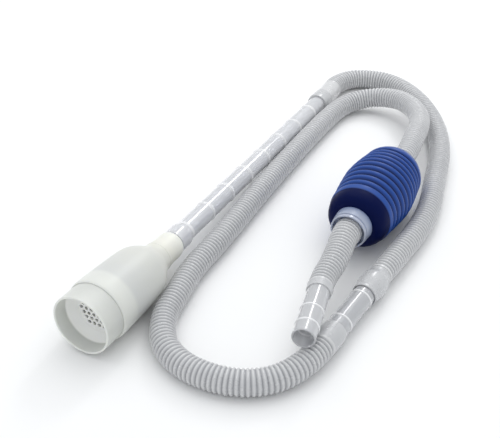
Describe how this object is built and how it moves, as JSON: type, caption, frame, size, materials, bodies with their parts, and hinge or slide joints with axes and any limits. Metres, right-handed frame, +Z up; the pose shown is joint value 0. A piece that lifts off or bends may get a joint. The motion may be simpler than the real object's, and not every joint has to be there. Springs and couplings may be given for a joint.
{
  "type": "gravel vacuum siphon",
  "caption": "Aquarium gravel siphon: sieve-mouthed head on a clear tube, corrugated hoses, a blue ribbed squeeze bulb with check valves and a clear outlet tube, laid in a loop.",
  "frame": {"origin": "on the surface the siphon lies on, under the middle of the box round its rigid pieces and bulb, hoses left out", "axes": "+Z up, +Y the long way of the loop, from the suction mouth towards the far bends, +X towards the bulb"},
  "size_m": [0.3354, 0.4859, 0.0624],
  "materials": {
    "head": "milky translucent polypropylene, satin",
    "clear": "clear rigid plastic, glossy",
    "hose": "translucent corrugated flexible plastic",
    "bulb": "satin blue rubber",
    "socket": "translucent pale blue-grey plastic",
    "valve": "white plastic",
    "flap": "silicone"
  },
  "bodies": {
    "root": {"extension_tube": "clear", "connector_tube": "clear", "hose_1": "hose", "hose_2": "hose", "hose_1_inlet_cuff": "hose", "hose_1_outlet_bell": "hose", "hose_2_inlet_cuff": "hose", "hose_2_outlet_cuff": "hose", "bulb_bellows": "bulb", "bulb_inlet_socket": "socket", "inlet_valve_seat": "valve", "inlet_valve_pin": "valve"},
    "head": {"head_body": "head"},
    "strainer": {"strainer_cup": "head"},
    "outlet_end": {"bulb_outlet_socket": "socket", "outlet_valve_seat": "valve", "outlet_valve_pin": "valve", "hose_3": "hose", "hose_3_inlet_cuff": "hose", "hose_3_outlet_cuff": "hose"},
    "outlet_pipe": {"outlet_tube": "clear"},
    "inlet_flap": {"inlet_valve_flap": "flap"},
    "outlet_flap": {"outlet_valve_flap": "flap"}
  },
  "joints": [
    {"name": "head_swivel", "type": "hinge", "parent": "root", "child": "head", "pos_m": [-0.06531, -0.0759, 0.02243], "axis": [0.4867, 0.873, -0.0328], "continuous": true},
    {"name": "strainer_pull", "type": "slide", "parent": "head", "child": "strainer", "axis": [-0.4867, -0.873, 0.0328], "range_m": [0, 0.018]},
    {"name": "bulb_squeeze", "type": "slide", "parent": "root", "child": "outlet_end", "axis": [0.4602, 0.8878, -0.0087], "range_m": [0, 0.022], "stiffness_N_per_m": 350, "deforming": ["bulb_bellows"]},
    {"name": "outlet_tube_swivel", "type": "hinge", "parent": "outlet_end", "child": "outlet_pipe", "pos_m": [0.04738, -0.14524, 0.02962], "axis": [-0.2593, -0.9658, 0.0061], "continuous": true},
    {"name": "inlet_flap_hinge", "type": "hinge", "parent": "root", "child": "inlet_flap", "pos_m": [0.12163, 0.01799, 0.03883], "axis": [-0.8878, 0.4602, 0], "range_deg": [0, 40]},
    {"name": "outlet_flap_hinge", "type": "hinge", "parent": "outlet_end", "child": "outlet_flap", "pos_m": [0.08459, -0.05348, 0.03954], "axis": [-0.8878, 0.4602, 0], "range_deg": [0, 40]}
  ]
}
